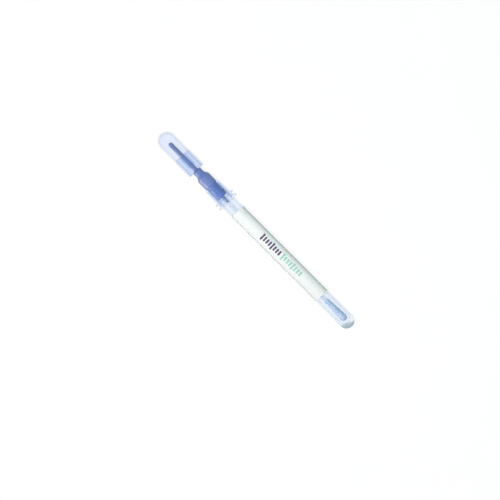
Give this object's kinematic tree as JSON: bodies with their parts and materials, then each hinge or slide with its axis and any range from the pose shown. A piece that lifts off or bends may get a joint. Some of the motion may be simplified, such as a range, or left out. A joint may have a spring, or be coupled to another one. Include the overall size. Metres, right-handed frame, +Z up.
{
  "type": "specimen swab tube",
  "caption": "Clear tube that stores a hollow-shafted swab on a cap with a blue snap valve and a soft squeeze bulb of liquid.",
  "frame": {"origin": "on the surface that the piece lies on, under the middle of its length and under its axis", "axes": "+X along the tube towards its closed end, +Y across, +Z up from the surface"},
  "size_m": [0.1694, 0.0146, 0.0146],
  "materials": {
    "clear_tube": "clear, faintly blue polypropylene",
    "label_film": "white film label, satin",
    "clear_cap": "clear, faintly blue polypropylene",
    "blue_valve": "mid blue moulded plastic, satin",
    "blue_stem": "mid blue moulded plastic, satin",
    "soft_bulb": "soft translucent polyethylene",
    "milky_sleeve": "milky polyethylene",
    "liquid": "clear water-like liquid",
    "swab_shaft": "white translucent plastic tubing",
    "swab_fibre": "wound fibre, pale blue"
  },
  "bodies": {
    "tube": {"tube": "clear_tube", "label": "label_film"},
    "swab": {"cap_skirt": "clear_cap", "valve_body": "blue_valve", "swab_shaft": "swab_shaft", "swab_bud": "swab_fibre"},
    "bulb_head": {"bulb": "soft_bulb", "bulb_sleeve": "milky_sleeve", "snap_stem": "blue_stem", "reagent": "liquid"}
  },
  "joints": [
    {"name": "cap_pull", "type": "slide", "parent": "tube", "child": "swab", "axis": [-1, 0, 0], "range_m": [0, 0.12]},
    {"name": "bulb_bend", "type": "hinge", "parent": "swab", "child": "bulb_head", "pos_m": [-0.0498, 0, 0.0073], "axis": [0, 0, 1], "range_deg": [-40, 40], "stiffness_Nm_per_rad": 0.1}
  ]
}
